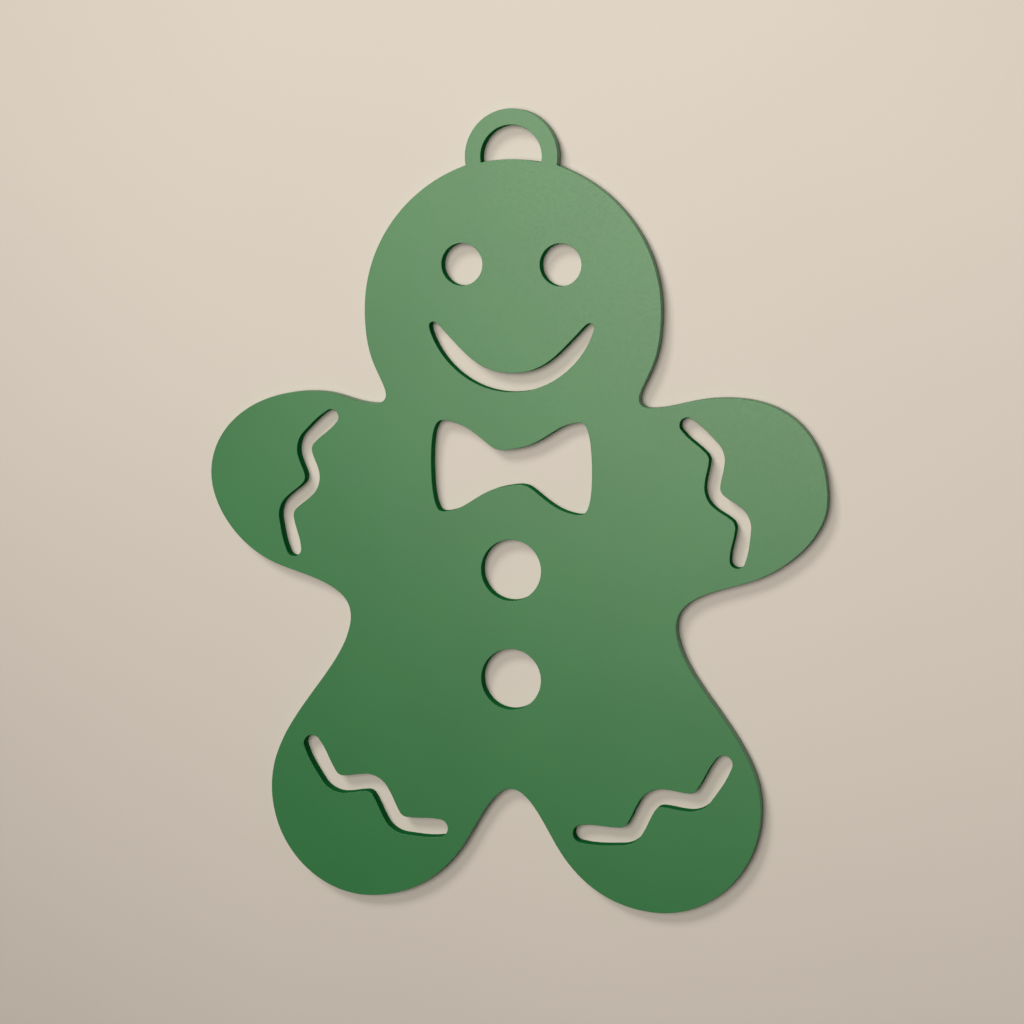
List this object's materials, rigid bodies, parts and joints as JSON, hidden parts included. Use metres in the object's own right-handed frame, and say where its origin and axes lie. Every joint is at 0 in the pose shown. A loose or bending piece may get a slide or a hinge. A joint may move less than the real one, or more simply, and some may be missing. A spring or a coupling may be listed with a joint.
{
  "type": "gingerbread man ornament",
  "caption": "Flat satin green gingerbread man ornament with a hanging ring; face, bow tie, buttons and icing waves are cut right through.",
  "frame": {"origin": "under the middle of the plate's box, on the surface that its back lies on", "axes": "+X to the right of the shown face, +Y towards the head and its hanging ring, +Z out of the shown face"},
  "size_m": [0.0874, 0.11, 0.002],
  "materials": {
    "satin_green": "satin green, coloured right through, with a soft sheen that pales it towards the light"
  },
  "bodies": {
    "root": {"gingerbread_man_plate": "satin_green"}
  },
  "joints": []
}
